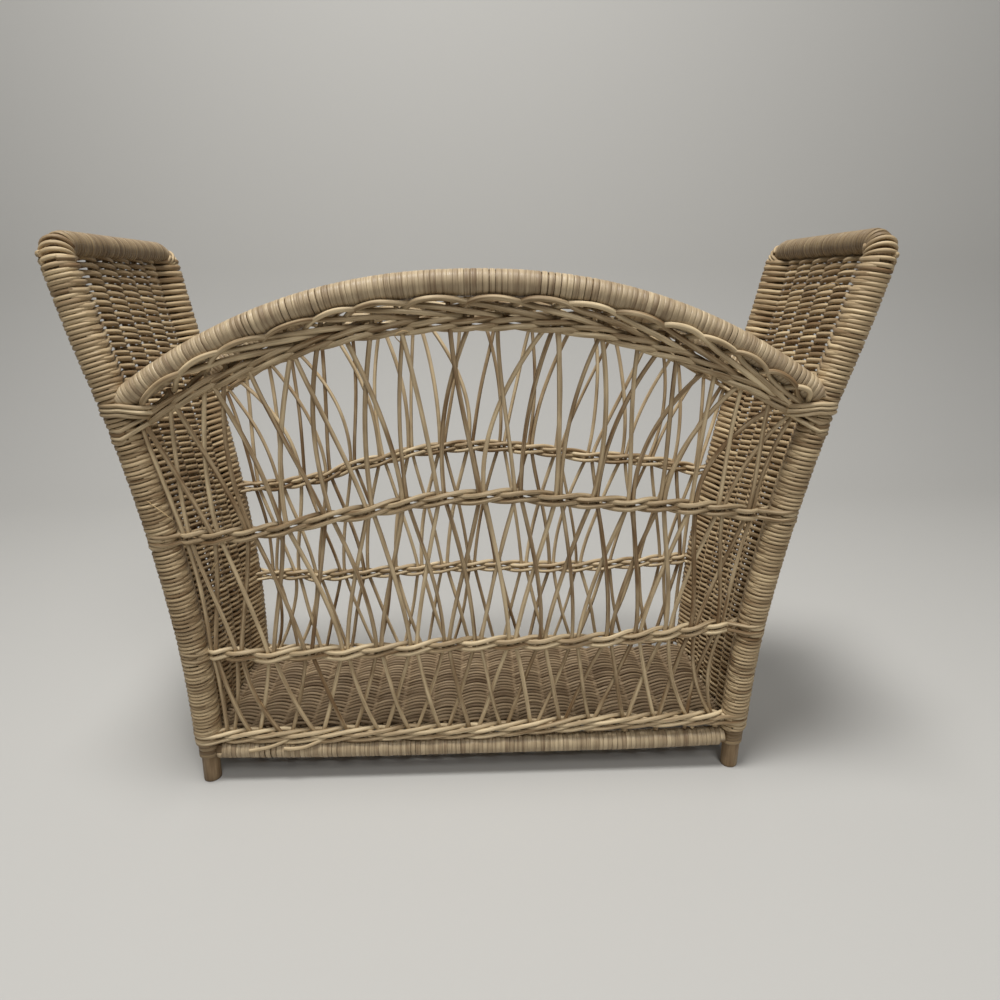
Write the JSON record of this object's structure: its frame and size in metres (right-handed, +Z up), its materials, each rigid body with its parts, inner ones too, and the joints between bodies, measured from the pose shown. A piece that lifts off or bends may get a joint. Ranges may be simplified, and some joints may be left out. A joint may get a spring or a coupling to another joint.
{
  "type": "magazine basket",
  "caption": "Wicker magazine basket: two bent-pole ends with woven panels that flare outwards, arched front and back of crossed reeds with a braided border, and a woven floor.",
  "frame": {"origin": "on the floor, under the middle of the basket's overall box", "axes": "+X along the length, +Y from the front face to the back face, +Z up"},
  "size_m": [0.4448, 0.1434, 0.3459],
  "materials": {
    "rattan_pole": "bare rattan pole with a satin skin",
    "flat_cane": "glossy split cane wound edge to edge",
    "weft_reed": "matt round reed, woven",
    "stake_reed": "matt round reed",
    "floor_reed": "matt round reed, darker with dust and shade",
    "nail_steel": "plain wire nail"
  },
  "bodies": {
    "root": {"back_arch_binding": "flat_cane", "back_arch_rail": "rattan_pole", "back_base_binding": "flat_cane", "back_base_rail": "rattan_pole", "back_base_wale": "weft_reed", "back_border_braid": "weft_reed", "back_lattice": "stake_reed", "back_left_foot_binding": "flat_cane", "back_left_lashing": "weft_reed", "back_left_rail_nail": "nail_steel", "back_lower_twining": "weft_reed", "back_right_foot_binding": "flat_cane", "back_right_lashing": "weft_reed", "back_right_rail_nail": "nail_steel", "back_top_wale": "weft_reed", "back_upper_twining": "weft_reed", "floor_weave": "floor_reed", "front_arch_binding": "flat_cane", "front_arch_rail": "rattan_pole", "front_base_binding": "flat_cane", "front_base_rail": "rattan_pole", "front_base_wale": "weft_reed", "front_border_braid": "weft_reed", "front_lattice": "stake_reed", "front_left_foot_binding": "flat_cane", "front_left_lashing": "weft_reed", "front_left_rail_nail": "nail_steel", "front_lower_twining": "weft_reed", "front_right_foot_binding": "flat_cane", "front_right_lashing": "weft_reed", "front_right_rail_nail": "nail_steel", "front_top_wale": "weft_reed", "front_upper_twining": "weft_reed", "left_base_binding": "flat_cane", "left_base_rail": "rattan_pole", "left_end_hoop": "rattan_pole", "left_end_stake_1": "stake_reed", "left_end_stake_2": "stake_reed", "left_end_stake_3": "stake_reed", "left_end_stake_4": "stake_reed", "left_end_stake_5": "stake_reed", "left_end_weave": "weft_reed", "left_top_binding": "flat_cane", "right_base_binding": "flat_cane", "right_base_rail": "rattan_pole", "right_end_hoop": "rattan_pole", "right_end_stake_1": "stake_reed", "right_end_stake_2": "stake_reed", "right_end_stake_3": "stake_reed", "right_end_stake_4": "stake_reed", "right_end_stake_5": "stake_reed", "right_end_weave": "weft_reed", "right_top_binding": "flat_cane"}
  },
  "joints": []
}
